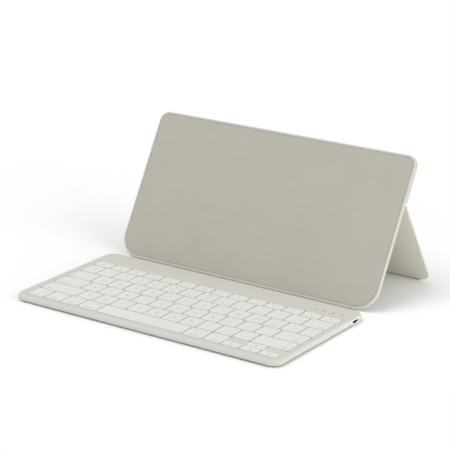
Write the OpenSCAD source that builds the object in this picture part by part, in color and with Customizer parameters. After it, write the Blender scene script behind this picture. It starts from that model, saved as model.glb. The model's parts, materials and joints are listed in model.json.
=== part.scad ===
// Tablet keyboard case: a slim wireless keyboard, and behind it a magnetic back plate that
// leans on its own fold-out kickstand. It is drawn open for typing, without a tablet.
// +X is the user's right, +Y points away from the user and the table is at z = 0.

/* [Keyboard body] */
// Width of the keyboard and of the back plate
case_w = 286; // [282:1:360]
// Depth of the keyboard, front edge to rear edge
kb_d = 141.5; // [139:0.5:200]
// Height of the keyboard body, underside to flat top
kb_h = 5.2; // [5:0.1:8]
// Height of the rubber feet below the underside
foot_h = 1.3; // [0.8:0.1:3]
// Corner radius of the keyboard in plan
kb_corner_r = 10; // [8:0.5:20]
// Width of the rolled edge along the two sides
side_roll_w = 2; // [1:0.1:5]
// Height of the rolled edge along the two sides
side_roll_h = 2.4; // [1:0.1:3.2]
// Radius of the rolled front edge
front_roll = 3; // [1:0.1:3.2]
// Radius of the rear top edge
rear_roll = 1.2; // [0.5:0.1:3]
// Thickness of the top skin
skin_t = 1.2; // [0.8:0.1:1.6]
// Thickness of the side walls
wall_t = 2.6; // [1.6:0.1:4]
// Thickness of the base plate
base_t = 0.6; // [0.4:0.1:1]

/* [Keys] */
// Distance between two letter keys, both ways
key_pitch = 19; // [15:0.25:19.2]
// Gap between two keys
key_gap = 1.6; // [1:0.1:3]
// Corner radius of a key cap
cap_r = 1.8; // [0.5:0.1:2.5]
// Height of the key caps above the flat top
cap_rise = 0.5; // [0.2:0.1:1]
// Height of a key cap, skirt to top
cap_h = 2; // [1.6:0.1:2.4]
// Thickness of the top of a key cap
cap_top_t = 0.8; // [0.5:0.1:1]
// Thickness of the skirt of a key cap
cap_wall = 0.8; // [0.5:0.1:1.2]
// Travel of every key
key_travel = 1; // [0.6:0.1:1]
// Clear margin between the keys and the edge of the key well
well_margin = 0.7; // [0.4:0.1:2]
// Distance from the front edge of the keyboard to the first row
front_margin = 6.8; // [5:0.1:20]
// How far the key field is set to the right of the middle
field_shift = 1.8; // [-3:0.1:3]

/* [Charging port and lights] */
// Distance from the rear edge of the keyboard to the middle of the port
port_inset = 16.4; // [15:0.1:30]
// Width of the port bezel
bezel_w = 14.6; // [12:0.1:20]
// Height of the port bezel
bezel_h = 5; // [4.2:0.1:5]
// Width of the slot in the port
slot_w = 8.6; // [8.4:0.1:9.2]
// Height of the slot in the port
slot_h = 2.8; // [2.6:0.1:3]
// Distance between two indicator lights
light_pitch = 9.1; // [6:0.1:12]
// Distance from the rear edge of the keyboard to the indicator lights
light_inset = 18.6; // [15:0.1:32]
// Distance from the keyboard's middle to the last indicator light
last_light_x = 129.4; // [100:0.1:136]

/* [Stand] */
// Angle of the back plate above the table
lean = 60; // [50:1:72]
// Height of the back plate, along its slope
plate_h = 147; // [130:1:200]
// Thickness of the back plate
plate_t = 3; // [2.6:0.1:5]
// Height of the kickstand hinge, along the slope of the plate
hinge_s = 101.5; // [85:0.5:122]
// Thickness of the kickstand and of the upper cover
leg_t = 1.5; // [1.2:0.1:2.5]
// Free space between the kickstand and the plate when it is folded away
fold_gap = 0.3; // [0.2:0.1:1]
// Corner radius at the top of the plate
plate_top_r = 10; // [4:1:25]
// Corner radius at the bottom of the plate
plate_bottom_r = 21; // [5:1:25]
// Corner radius at the foot of the kickstand
leg_corner_r = 10; // [3:1:25]
// Space between the rear edge of the keyboard and the middle of the pivot bead
bead_gap = 13.1; // [3.4:0.1:20]
// Radius of the pivot bead and of the foot strip
bead_r = 1; // [0.6:0.1:1.2]
// Half of the free channel at the kickstand hinge
channel_half = 2.6; // [2.4:0.1:4]
// Radius of the hinge pins
pin_r = 0.6; // [0.4:0.05:0.7]
// Distance from the middle of the case to the middle of each hinge
hinge_x = 88; // [40:1:110]
// Length of one hinge
hinge_len = 36; // [20:1:50]

/* [Hidden] */

// Colours
shell_tone = [0.83, 0.82, 0.79];
cap_tone = [0.89, 0.885, 0.875];
web_tone = [0.72, 0.71, 0.66];
skin_tone = [0.80, 0.79, 0.76];
lining_tone = [0.66, 0.65, 0.61];
steel_tone = [0.62, 0.63, 0.65];
rubber_tone = [0.55, 0.545, 0.52];

// Heights of the keyboard's layers above the table
underside_z = foot_h;
base_top_z = underside_z + base_t;
top_z = underside_z + kb_h;
skin_under_z = top_z - skin_t;
cap_top_z = top_z + cap_rise;
cap_skirt_z = cap_top_z - cap_h;
support_t = 0.4;
membrane_t = 0.25;
web_t = 0.7;
membrane_z = base_top_z + support_t;
dome_z = membrane_z + membrane_t;
// The web stays under the skirts of fully pressed keys
web_top_z = cap_skirt_z - key_travel - 0.15;
// Ribs stand between the caps, level with the top of a pressed key
rib_top_z = cap_top_z - key_travel;
rib_gap = 0.3;
rib_fit = 0.1;
// Nothing under a cap reaches its ceiling when the key is pressed
under_cap_z = cap_top_z - cap_top_t - key_travel - 0.1;

// Key layout, in key pitches
units_across = 14.21;
function_row_units = 0.63;
backquote_units = 0.9;
tab_units = 1.39;
caps_units = 1.64;
shift_units = 2.14;
command_units = 1.12;
letter_rows = 5;
function_count = 14;
number_count = 12;
upper_count = 13;
home_count = 11;
lower_count = 10;

field_w = units_across * key_pitch;
field_d = (letter_rows + function_row_units) * key_pitch;
well_x = field_w / 2 - key_gap / 2 + well_margin;
well_front = front_margin + key_gap / 2 - well_margin;
well_rear = front_margin + field_d - key_gap / 2 + well_margin;
well_r = cap_r + well_margin;
web_lap = 2.4;
well_wall_t = 1;

// A key is [first column, columns, first row, rows], in key pitches
function_units = units_across / function_count;
function function_key(i) = [i * function_units, function_units, letter_rows, function_row_units];
function wide_key(start, width, row) = [start, width, row, 1];
function row_keys(start, count, row) = [for (i = [0 : count - 1]) wide_key(start + i, 1, row)];
number_end = backquote_units + number_count;
upper_end = tab_units + upper_count - 1;
home_end = caps_units + home_count;
lower_end = shift_units + lower_count;
space_start = 3 + command_units;
arrows_start = units_across - 3;
right_option_start = arrows_start - 1;
right_command_start = right_option_start - command_units;

function_list = [for (i = [1 : function_count - 2]) function_key(i)];
number_list = concat([wide_key(0, backquote_units, 4)], row_keys(backquote_units, number_count, 4));
upper_list = concat(row_keys(tab_units, upper_count - 1, 3),
                    [wide_key(upper_end, units_across - upper_end, 3)]);
home_list = row_keys(caps_units, home_count, 2);
lower_list = row_keys(shift_units, lower_count, 1);
escape_pos = function_key(0);
lock_pos = function_key(function_count - 1);
backspace_pos = wide_key(number_end, units_across - number_end, 4);
tab_pos = wide_key(0, tab_units, 3);
caps_pos = wide_key(0, caps_units, 2);
return_pos = wide_key(home_end, units_across - home_end, 2);
left_shift_pos = wide_key(0, shift_units, 1);
right_shift_pos = wide_key(lower_end, units_across - lower_end, 1);
fn_pos = wide_key(0, 1, 0);
control_pos = wide_key(1, 1, 0);
left_option_pos = wide_key(2, 1, 0);
left_command_pos = wide_key(3, command_units, 0);
space_pos = wide_key(space_start, right_command_start - space_start, 0);
right_command_pos = wide_key(right_command_start, command_units, 0);
right_option_pos = wide_key(right_option_start, 1, 0);
left_arrow_pos = [arrows_start, 1, 0, 0.5];
down_arrow_pos = [arrows_start + 1, 1, 0, 0.5];
up_arrow_pos = [arrows_start + 1, 1, 0.5, 0.5];
right_arrow_pos = [arrows_start + 2, 1, 0, 0.5];

all_keys = concat(
    function_list, number_list, upper_list, home_list, lower_list,
    [escape_pos, lock_pos, backspace_pos, tab_pos, caps_pos, return_pos, left_shift_pos,
     right_shift_pos, fn_pos, control_pos, left_option_pos, left_command_pos, space_pos,
     right_command_pos, right_option_pos, left_arrow_pos, down_arrow_pos, up_arrow_pos,
     right_arrow_pos]);

function key_x(k) = field_shift + (k[0] + k[1] / 2 - units_across / 2) * key_pitch;
function key_y(k) = front_margin + (k[2] + k[3] / 2) * key_pitch;
function key_w(k) = k[1] * key_pitch - key_gap;
// A half-height key shares one gap with its neighbour
half_gap = 0.8;
function key_d(k) = k[3] * key_pitch - (k[3] == 0.5 ? (key_gap + half_gap) / 2 : key_gap);
function key_shift(k) = k[3] != 0.5 ? 0 : (key_gap - half_gap) / 4 * (k[2] == 0 ? 1 : -1);

// Stand geometry: the pivot bead and the foot strip have the same radius and the same distance
// to the kickstand hinge, so the foot stays on the table while the plate tilts
bead_t = fold_gap + plate_t / 2;
foot_t = leg_t / 2;
bead_y = kb_d + bead_gap;
hinge_reach = sqrt(hinge_s * hinge_s + bead_t * bead_t);
foot_reach = sqrt(hinge_reach * hinge_reach - foot_t * foot_t);
reach_angle = lean - atan(bead_t / hinge_s);
hinge_y = bead_y + hinge_reach * cos(reach_angle);
hinge_z = bead_r + hinge_reach * sin(reach_angle);
foot_y = bead_y + 2 * hinge_reach * cos(reach_angle);
leg_open = 180 - lean - reach_angle - atan(foot_t / foot_reach);
total_d = foot_y + bead_r;
origin_y = -total_d / 2;

plate_front_t = fold_gap + plate_t;
shell_wall = 1;
rim_w = 1.6;
lining_t = 0.5;
core_t = plate_t - shell_wall - lining_t;
edge_s = 0.5;
bead_len = case_w - 2 * plate_bottom_r - 8;
bead_clearance = 0.06;
foot_len = case_w - 2 * leg_corner_r - 2;
skin_wall = 0.4;
knuckle_r = 1.2;
knuckle_gap = 0.15;
pin_clearance = 0.03;
leaf_t = 0.5;
leaf_len = 14;
leg_half_w = case_w / 2;
port_y = kb_d - port_inset;
port_z = underside_z + kb_h / 2 - 0.3;
connector_len = 7;
bezel_depth = 3.6;
magnet_w = 18;
magnet_count = 6;
light_w = 1;
light_len = 3;
light_count = 4;
screw_r = 0.8;
boss_r = 2;
screw_top_z = membrane_z;
foot_pad_w = 26;
foot_pad_d = 7;
foot_inset = 12;
foot_recess = 0.3;
base_lip = 1;
corner_steps = 8;

// Under the keys
dome_foot_r = 2.8;
dome_tip_r = 1.2;
link_bar = 0.9;
link_t = 0.5;
link_play = 0.3;
link_side_gap = 2;
link_end_gap = 0.7;
link_w_max = 12.4;
link_d_max = 11;
link_lift = 0.8;
link_pair_d = 9;
web_hole_w = 14;
web_hole_side = 1.3;
web_hole_end = 1.1;

// Behind the keys
bay_front = well_rear + web_lap + 3;
magnet_d = 3.6;
magnet_h = 2.6;
magnet_front = kb_d - wall_t - magnet_d;
bay_d = magnet_front - 1 - bay_front;
board_w = 70;
board_t = 0.8;
board_lift = 0.3;
board_end = 10;
battery_w = 110;
battery_h = 2.4;
battery_end = 40;
boss_play = 0.4;
connector_wall = 0.3;
connector_back = 0.5;
lens_play = 0.05;
lens_below = 0.4;
lens_short = 0.1;

// Magnets of the stand
stand_magnet_d = 6;
low_magnet_s = 12;
high_magnet_inset = 16;
leg_magnet_s = 10;

// Outline with round corners, x0..x1 by y0..y1, with its own radius at the front and at the rear
function outline(x0, x1, y0, y1, rf, rr) = [
    for (c = [[x1 - rf, y0 + rf, -90, rf], [x1 - rr, y1 - rr, 0, rr],
              [x0 + rr, y1 - rr, 90, rr], [x0 + rf, y0 + rf, 180, rf]])
        for (i = [0 : corner_steps])
            [c[0] + c[3] * cos(c[2] + 90 * i / corner_steps),
             c[1] + c[3] * sin(c[2] + 90 * i / corner_steps)]];

module rounded_slab(x0, x1, y0, y1, rf, rr, z0, z1) {
    translate([0, 0, z0]) linear_extrude(z1 - z0) polygon(outline(x0, x1, y0, y1, rf, rr));
}

module stadium(len, wid, h) {
    linear_extrude(h) union() {
        square([len - wid, wid], center = true);
        for (side = [-1, 1]) translate([side * (len - wid) / 2, 0]) circle(d = wid, $fn = 32);
    }
}

module on_table() { translate([0, origin_y, 0]) children(); }

// Local frame of the plate: x across, y up the slope, z out of the front face
module on_plate() {
    on_table() translate([0, bead_y, bead_r]) rotate([lean, 0, 0])
        translate([0, 0, -bead_t]) children();
}

// The same frame for the kickstand, turned about the hinge
module on_leg() {
    on_table() translate([0, hinge_y, hinge_z]) rotate([lean + leg_open, 0, 0])
        translate([0, -hinge_s, 0]) children();
}

module at_foot_row(y) {
    for (side = [-1, 1])
        translate([side * (case_w / 2 - foot_inset - foot_pad_w / 2), y, 0]) children();
}

module at_front_feet() { at_foot_row(foot_inset) children(); }
module at_rear_feet() { at_foot_row(kb_d - foot_inset) children(); }

module at_feet() {
    at_front_feet() children();
    at_rear_feet() children();
}

module screw_hole(z0, z1) { translate([0, 0, z0]) cylinder(r = screw_r, h = z1 - z0, $fn = 32); }

module at_magnets() {
    span = case_w - 2 * plate_bottom_r - magnet_w;
    for (i = [0 : magnet_count - 1])
        translate([-span / 2 + span * i / (magnet_count - 1), 0, 0]) children();
}

module at_lights() {
    for (i = [0 : light_count - 1])
        translate([last_light_x - i * light_pitch, kb_d - light_inset, 0]) children();
}

module at_hinges() { for (side = [-1, 1]) translate([side * hinge_x, 0, 0]) children(); }

module at_port(x) {
    translate([x, port_y, port_z]) rotate([90, 0, 90]) children();
}

// How far an edge of width a and height b has rolled in at height z
function roll_in(z, a, b) = z <= top_z - b ? 0 : a * (1 - sqrt(1 - pow((z - top_z + b) / b, 2)));

function body_ring(z) =
    let (side = roll_in(z, side_roll_w, side_roll_h), front = roll_in(z, front_roll, front_roll),
         rear = roll_in(z, rear_roll, rear_roll))
    [for (p = outline(-case_w / 2 + side, case_w / 2 - side, front, kb_d - rear,
                      kb_corner_r - front, kb_corner_r - rear)) [p[0], p[1], z]];

roll_steps = 7;
roll_h = max(side_roll_h, front_roll, rear_roll);
body_levels = concat(
    [base_top_z], [for (i = [0 : roll_steps]) top_z - roll_h * (1 - sin(90 * i / roll_steps))]);

// The solid body with its rolled edges, lofted through one ring of points at each level
module keyboard_block() {
    rings = [for (z = body_levels) body_ring(z)];
    n = len(rings[0]);
    last = len(rings) - 1;
    polyhedron(
        points = [for (ring = rings) for (p = ring) p],
        faces = concat(
            [[for (j = [0 : n - 1]) j]],
            [[for (j = [0 : n - 1]) last * n + n - 1 - j]],
            [for (i = [0 : last - 1]) for (j = [0 : n - 1]) let (k = (j + 1) % n)
                [i * n + j, (i + 1) * n + j, (i + 1) * n + k]],
            [for (i = [0 : last - 1]) for (j = [0 : n - 1]) let (k = (j + 1) % n)
                [i * n + j, (i + 1) * n + k, i * n + k]]),
        convexity = 4);
}

// A slab with the outline of the key well, widened by a margin
module well_slab(margin, z0, z1) {
    rounded_slab(field_shift - well_x - margin, field_shift + well_x + margin, well_front - margin,
                 well_rear + margin, well_r + margin, well_r + margin, z0, z1);
}

module top_case() {
    color(shell_tone) on_table() difference() {
        union() {
            difference() {
                keyboard_block();
                rounded_slab(-case_w / 2 + wall_t, case_w / 2 - wall_t, wall_t + 1, kb_d - wall_t,
                             kb_corner_r - wall_t, kb_corner_r - wall_t, 0, skin_under_z);
            }
            well_slab(well_wall_t, web_top_z, skin_under_z);
            at_rear_feet() translate([0, 0, base_top_z])
                cylinder(r = boss_r, h = skin_under_z - base_top_z, $fn = 32);
        }
        at_rear_feet() screw_hole(base_top_z - 1, screw_top_z);
        well_slab(0, 0, top_z + 1);
        at_port(case_w / 2 - bezel_depth) stadium(bezel_w, bezel_h, bezel_depth + 1);
        at_lights() translate([-light_w / 2, -light_len / 2, skin_under_z - 1])
            cube([light_w, light_len, skin_t + 2]);
    }
}

module base_plate() {
    color(shell_tone) on_table() difference() {
        rounded_slab(-case_w / 2 + base_lip, case_w / 2 - base_lip, base_lip, kb_d - base_lip,
                     kb_corner_r - base_lip, kb_corner_r - base_lip, underside_z, base_top_z);
        at_feet() translate([0, 0, underside_z - 1]) stadium(foot_pad_w, foot_pad_d, 1 + foot_recess);
        at_feet() screw_hole(underside_z, base_top_z + 1);
        at_port(case_w / 2 - bezel_depth) stadium(bezel_w, bezel_h, bezel_depth + 1);
    }
}

module cap_pocket(k) {
    translate([key_x(k), key_y(k) + key_shift(k), cap_top_z])
        cube([key_w(k) + 2 * rib_gap, key_d(k) + 2 * rib_gap, 2 * (cap_top_z - web_top_z)],
             center = true);
}

module key_web() {
    color(web_tone) on_table() difference() {
        union() {
            well_slab(web_lap, web_top_z - web_t, web_top_z);
            well_slab(-rib_fit, web_top_z - web_t / 2, rib_top_z);
        }
        for (k = all_keys) translate([key_x(k), key_y(k), web_top_z])
            cube([min(key_w(k) - 2 * web_hole_side, web_hole_w),
                  min(key_d(k) - 2 * web_hole_end, web_hole_w), 4 * web_t], center = true);
        for (k = all_keys) cap_pocket(k);
        // The two half-height keys share one pocket
        cap_pocket([arrows_start + 1, 1, 0, 1]);
    }
}

module key_support_plate() {
    color(steel_tone) on_table() difference() {
        well_slab(web_lap, base_top_z, membrane_z);
        at_front_feet() screw_hole(base_top_z - 1, membrane_z + 1);
    }
}

module switch_membrane() {
    color("gainsboro") on_table() well_slab(0, membrane_z, dome_z);
}

function link_d(k) = min(key_d(k) - 2 * (cap_wall + link_end_gap), link_d_max);

// The dome stands inside the link frame of its key
module rubber_domes() {
    color("whitesmoke") on_table()
        for (k = all_keys) translate([key_x(k), key_y(k), dome_z])
            cylinder(r1 = min(dome_foot_r, link_d(k) / 2 - link_bar - link_play), r2 = dome_tip_r,
                     h = under_cap_z - dome_z, $fn = 24);
}

// One link frame, tipped about the middle of its key, with its low end on the membrane
module link(w, d, tip) {
    translate([0, 0, (dome_z + under_cap_z) / 2]) rotate([tip, 0, 0]) difference() {
        cube([w, d, link_t], center = true);
        cube([w - 2 * link_bar, d - 2 * link_bar, 2 * link_t], center = true);
    }
}

module scissor_links() {
    color("silver") on_table() for (k = all_keys) {
        w = min(key_w(k) - 2 * link_side_gap, link_w_max);
        d = link_d(k);
        tip = asin((under_cap_z - dome_z - link_lift) / d);
        translate([key_x(k), key_y(k), 0]) {
            link(w, d, tip);
            if (d > link_pair_d) link(w - 2 * (link_bar + link_play), d, -tip);
        }
    }
}

module main_board() {
    color("darkgreen") on_table() difference() {
        translate([case_w / 2 - wall_t - board_end - board_w, bay_front, base_top_z + board_lift])
            cube([board_w, bay_d, board_t]);
        at_rear_feet() cylinder(r = boss_r + boss_play, h = top_z, $fn = 32);
    }
}

module battery_cell() {
    color("dimgray") on_table()
        translate([-case_w / 2 + battery_end, bay_front, base_top_z])
            cube([battery_w, bay_d, battery_h]);
}

module usb_connector() {
    back_x = case_w / 2 - bezel_depth - connector_len;
    color(steel_tone) on_table() difference() {
        at_port(back_x)
            stadium(slot_w + 2 * connector_wall, slot_h + 2 * connector_wall, connector_len);
        at_port(back_x + connector_back) stadium(slot_w, slot_h, connector_len);
    }
}

module port_bezel() {
    color("white") on_table() difference() {
        at_port(case_w / 2 - bezel_depth) stadium(bezel_w, bezel_h, bezel_depth);
        at_port(case_w / 2 - bezel_depth - 1) stadium(slot_w, slot_h, bezel_depth + 2);
    }
}

module indicator_lenses() {
    w = light_w - 2 * lens_play;
    d = light_len - 2 * lens_play;
    color("dimgray") on_table() at_lights() translate([-w / 2, -d / 2, skin_under_z - lens_below])
        cube([w, d, skin_t + lens_below - lens_short]);
}

module keyboard_magnets() {
    color(steel_tone) on_table() at_magnets()
        translate([-magnet_w / 2, magnet_front, base_top_z]) cube([magnet_w, magnet_d, magnet_h]);
}

// The front screws end in the support plate, the rear ones in bosses under the top
module base_screws() {
    color(steel_tone) on_table() at_feet() screw_hole(underside_z + foot_recess, screw_top_z);
}

module rubber_feet() {
    color(rubber_tone) on_table() at_feet()
        stadium(foot_pad_w, foot_pad_d, foot_h + foot_recess);
}

module cap(k) {
    x = key_x(k);
    y = key_y(k) + key_shift(k);
    w = key_w(k) / 2;
    d = key_d(k) / 2;
    difference() {
        rounded_slab(x - w, x + w, y - d, y + d, cap_r, cap_r, cap_skirt_z, cap_top_z);
        translate([x, y, cap_top_z - cap_top_t - cap_h])
            cube([2 * (w - cap_wall), 2 * (d - cap_wall), 2 * cap_h], center = true);
    }
}

module caps(keys) { color(cap_tone) on_table() for (k = keys) cap(k); }

module function_keys() { caps(function_list); }
module number_keys() { caps(number_list); }
module upper_letter_keys() { caps(upper_list); }
module home_letter_keys() { caps(home_list); }
module lower_letter_keys() { caps(lower_list); }

module bead(len, r) { rotate([0, 90, 0]) cylinder(r = r, h = len, center = true, $fn = 48); }

module pivot_bead() {
    color(rubber_tone) on_plate() translate([0, 0, bead_t]) bead(bead_len, bead_r);
}

module hinge_pockets() {
    at_hinges() translate([0, hinge_s, 0])
        cube([hinge_len + 1, 2 * knuckle_r + 0.8, 2 * knuckle_r + 0.5], center = true);
}

module plate_outline(inset, z0, z1) {
    rounded_slab(-case_w / 2 + inset, case_w / 2 - inset, edge_s + inset, plate_h - inset,
                 plate_bottom_r - inset, plate_top_r - inset, z0, z1);
}

module plate_shell() {
    color(skin_tone) on_plate() difference() {
        plate_outline(0, fold_gap, plate_front_t);
        plate_outline(rim_w, fold_gap + shell_wall, plate_front_t + 1);
        translate([0, 0, bead_t]) bead(bead_len + 0.4, bead_r + bead_clearance);
        hinge_pockets();
    }
}

module at_plate_magnets() {
    at_magnets() translate([0, low_magnet_s, 0]) children();
    at_magnets() translate([0, plate_h - high_magnet_inset, 0]) children();
}

module magnet_block(z0, t) {
    translate([-magnet_w / 2, -stand_magnet_d / 2, z0]) cube([magnet_w, stand_magnet_d, t]);
}

module plate_core() {
    color("dimgray") on_plate() difference() {
        plate_outline(rim_w, fold_gap + shell_wall, fold_gap + shell_wall + core_t);
        at_plate_magnets() magnet_block(fold_gap + shell_wall - 1, core_t + 2);
        hinge_pockets();
    }
}

module front_lining() {
    color(lining_tone) on_plate() plate_outline(rim_w, plate_front_t - lining_t, plate_front_t);
}

module plate_magnets() {
    color(steel_tone) on_plate() at_plate_magnets() magnet_block(fold_gap + shell_wall, core_t);
}

module upper_cover() {
    color(skin_tone) on_plate() difference() {
        rounded_slab(-case_w / 2, case_w / 2, hinge_s + channel_half, plate_h, 0.6, plate_top_r,
                     -leg_t, fold_gap);
        at_hinges() translate([0, hinge_s + leaf_len / 2, fold_gap - leaf_t / 2])
            cube([hinge_len, leaf_len + 2, leaf_t], center = true);
    }
}

// Plate side of one hinge: a leaf under the upper cover and two outer knuckles
module hinge_plate_leaves() {
    third = hinge_len / 3;
    color(steel_tone) on_plate() at_hinges() translate([0, hinge_s, 0]) {
        difference() {
            union() {
                for (side = [0, 1]) translate([-hinge_len / 2 + side * 2 * third, 0, fold_gap - leaf_t])
                    cube([third, leaf_len, leaf_t]);
                translate([-hinge_len / 2, knuckle_r + 0.4, fold_gap - leaf_t])
                    cube([hinge_len, leaf_len - knuckle_r - 0.4, leaf_t]);
                for (side = [0, 1]) translate([-hinge_len / 2 + side * 2 * third, 0, 0])
                    rotate([0, 90, 0]) cylinder(r = knuckle_r, h = third, $fn = 48);
            }
            bead(hinge_len + 2, pin_r);
        }
    }
}

module hinge_pins() {
    color("silver") on_plate() at_hinges() translate([0, hinge_s, 0]) bead(hinge_len, pin_r);
}

// Kickstand side of one hinge: a leaf in the core and the middle knuckle
module hinge_leg_leaves() {
    third = hinge_len / 3;
    color(steel_tone) on_leg() at_hinges() translate([0, hinge_s, 0]) difference() {
        union() {
            translate([-third / 2 + knuckle_gap, -leaf_len, -leg_t + skin_wall])
                cube([third - 2 * knuckle_gap, leaf_len, leaf_t]);
            translate([-third / 2 + knuckle_gap, 0, 0]) rotate([0, 90, 0])
                cylinder(r = knuckle_r, h = third - 2 * knuckle_gap, $fn = 48);
        }
        bead(hinge_len, pin_r + pin_clearance);
    }
}

module leg_outline(inset, z0, z1) {
    rounded_slab(-leg_half_w + inset, leg_half_w - inset, edge_s + inset,
                 hinge_s - channel_half - inset, leg_corner_r - inset, 0.6, z0, z1);
}

module foot_groove() { translate([0, hinge_s - foot_reach, -foot_t]) bead(foot_len, bead_r); }

module leg_leaf_slots() {
    at_hinges() translate([0, hinge_s - leaf_len / 2, -leg_t + skin_wall + leaf_t / 2])
        cube([hinge_len / 3 - 2 * knuckle_gap, leaf_len, leaf_t], center = true);
}

module kickstand_outer_skin() {
    color(skin_tone) on_leg() difference() {
        leg_outline(0, -leg_t, -skin_wall);
        leg_outline(skin_wall, -leg_t + skin_wall, 1);
        foot_groove();
        leg_leaf_slots();
    }
}

module at_leg_magnets() { at_magnets() translate([0, leg_magnet_s, 0]) children(); }

module kickstand_core() {
    color("dimgray") on_leg() difference() {
        leg_outline(skin_wall, -leg_t + skin_wall, -skin_wall);
        at_leg_magnets() magnet_block(-leg_t, leg_t + 1);
        foot_groove();
        leg_leaf_slots();
    }
}

module kickstand_inner_skin() {
    color(lining_tone) on_leg() difference() {
        leg_outline(0, -skin_wall, 0);
        foot_groove();
    }
}

module kickstand_magnets() {
    color(steel_tone) on_leg() at_leg_magnets()
        magnet_block(-leg_t + skin_wall, leg_t - 2 * skin_wall);
}

module kickstand_foot() { color(rubber_tone) on_leg() foot_groove(); }

top_case();
base_plate();
key_web();
key_support_plate();
switch_membrane();
rubber_domes();
scissor_links();
main_board();
battery_cell();
usb_connector();
port_bezel();
indicator_lenses();
keyboard_magnets();
base_screws();
rubber_feet();
function_keys();
number_keys();
upper_letter_keys();
home_letter_keys();
lower_letter_keys();
caps([escape_pos]);  // escape_key
caps([lock_pos]);  // lock_key
caps([backspace_pos]);  // backspace_key
caps([tab_pos]);  // tab_key
caps([caps_pos]);  // caps_lock_key
caps([return_pos]);  // return_key
caps([left_shift_pos]);  // left_shift_key
caps([right_shift_pos]);  // right_shift_key
caps([fn_pos]);  // fn_key
caps([control_pos]);  // control_key
caps([left_option_pos]);  // left_option_key
caps([left_command_pos]);  // left_command_key
caps([space_pos]);  // space_bar
caps([right_command_pos]);  // right_command_key
caps([right_option_pos]);  // right_option_key
caps([left_arrow_pos]);  // left_arrow_key
caps([up_arrow_pos]);  // up_arrow_key
caps([down_arrow_pos]);  // down_arrow_key
caps([right_arrow_pos]);  // right_arrow_key
pivot_bead();
plate_shell();
plate_core();
front_lining();
plate_magnets();
upper_cover();
hinge_plate_leaves();
hinge_pins();
kickstand_outer_skin();
kickstand_core();
kickstand_inner_skin();
kickstand_magnets();
kickstand_foot();
hinge_leg_leaves();
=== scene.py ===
"""Looks of a tablet keyboard case: a slim keyboard and a back plate on its fold-out kickstand."""

import json
import logging
import math
from dataclasses import dataclass, replace
from enum import Enum
from typing import Callable, Iterable, Optional, Sequence, Union

import bpy
from mathutils import Matrix, Vector


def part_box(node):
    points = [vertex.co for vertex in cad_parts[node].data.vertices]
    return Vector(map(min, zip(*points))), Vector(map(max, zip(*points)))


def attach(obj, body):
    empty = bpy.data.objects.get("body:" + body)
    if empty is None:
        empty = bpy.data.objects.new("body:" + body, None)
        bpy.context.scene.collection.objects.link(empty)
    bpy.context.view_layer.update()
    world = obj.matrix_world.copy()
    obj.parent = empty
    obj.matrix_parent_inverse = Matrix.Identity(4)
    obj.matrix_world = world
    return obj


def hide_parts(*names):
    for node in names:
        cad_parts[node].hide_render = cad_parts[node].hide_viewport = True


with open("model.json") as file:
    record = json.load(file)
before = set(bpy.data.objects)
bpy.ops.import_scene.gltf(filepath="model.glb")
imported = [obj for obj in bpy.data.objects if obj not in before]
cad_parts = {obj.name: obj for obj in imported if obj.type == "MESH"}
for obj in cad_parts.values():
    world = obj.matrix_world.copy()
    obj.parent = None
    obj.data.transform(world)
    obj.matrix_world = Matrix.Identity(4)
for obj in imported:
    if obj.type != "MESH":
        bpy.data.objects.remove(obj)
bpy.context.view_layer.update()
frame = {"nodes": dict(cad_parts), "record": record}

MM = 0.001
# How close two heights or places count as one, in millimetres, and two directions, as a cosine
NEAR = 0.01
ALONG = 0.99
# Facets narrower than this, in millimetres, are closed up
FACET = 0.03
# How far a cutter reaches past what it cuts, in millimetres
REACH = 1.0
LOG = logging.getLogger("keyboard_case")
Colour = tuple[float, float, float]
Point = tuple[float, float, float]
EdgeTest = Callable[[Vector, Vector], bool]
Piece = bpy.types.Object
Socket = bpy.types.NodeSocket


# ---------------------------------------------------------------- modelling


class Pick(Enum):
    """What an edit-mode selection is made of."""

    POINTS = (True, False, False)
    EDGES = (False, True, False)
    FACES = (False, False, True)


def deselect() -> None:
    """Leaves nothing selected."""
    bpy.ops.object.select_all(action="DESELECT")


def activate(piece: Piece) -> None:
    """Makes a piece the only selected and active one.

    Args:
        piece: The piece.
    """
    deselect()
    piece.select_set(True)
    bpy.context.view_layer.objects.active = piece


def settle(piece: Piece) -> None:
    """Puts a piece's place, turn and size into its mesh."""
    activate(piece)
    bpy.ops.object.transform_apply(location=True, rotation=True, scale=True)


def block(name: str, low: Point, high: Point) -> Piece:
    """Adds a box between two corners.

    Args:
        name: Name of the piece.
        low: Lowest corner in millimetres.
        high: Highest corner in millimetres.

    Returns:
        The new piece.
    """
    deselect()
    middle = [(a + b) / 2 * MM for a, b in zip(low, high)]
    size = [(b - a) * MM for a, b in zip(low, high)]
    bpy.ops.mesh.primitive_cube_add(size=1, location=middle, scale=size)
    piece = bpy.context.object
    piece.name = name
    settle(piece)
    return piece


def rod(name: str, radius: float, length: float, segments: int = 48) -> Piece:
    """Adds a cylinder along X, centred on the origin.

    Args:
        name: Name of the piece.
        radius: Radius in millimetres.
        length: Length in millimetres.
        segments: Sides round it.

    Returns:
        The new piece.
    """
    deselect()
    bpy.ops.mesh.primitive_cylinder_add(
        vertices=segments, radius=radius * MM, depth=length * MM, rotation=(0, math.pi / 2, 0)
    )
    piece = bpy.context.object
    piece.name = name
    settle(piece)
    return piece


def unpick(mesh: bpy.types.Mesh) -> None:
    """Leaves no point, edge or face of a mesh picked."""
    for part in (mesh.vertices, mesh.edges, mesh.polygons):
        part.foreach_set("select", [False] * len(part))


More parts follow.
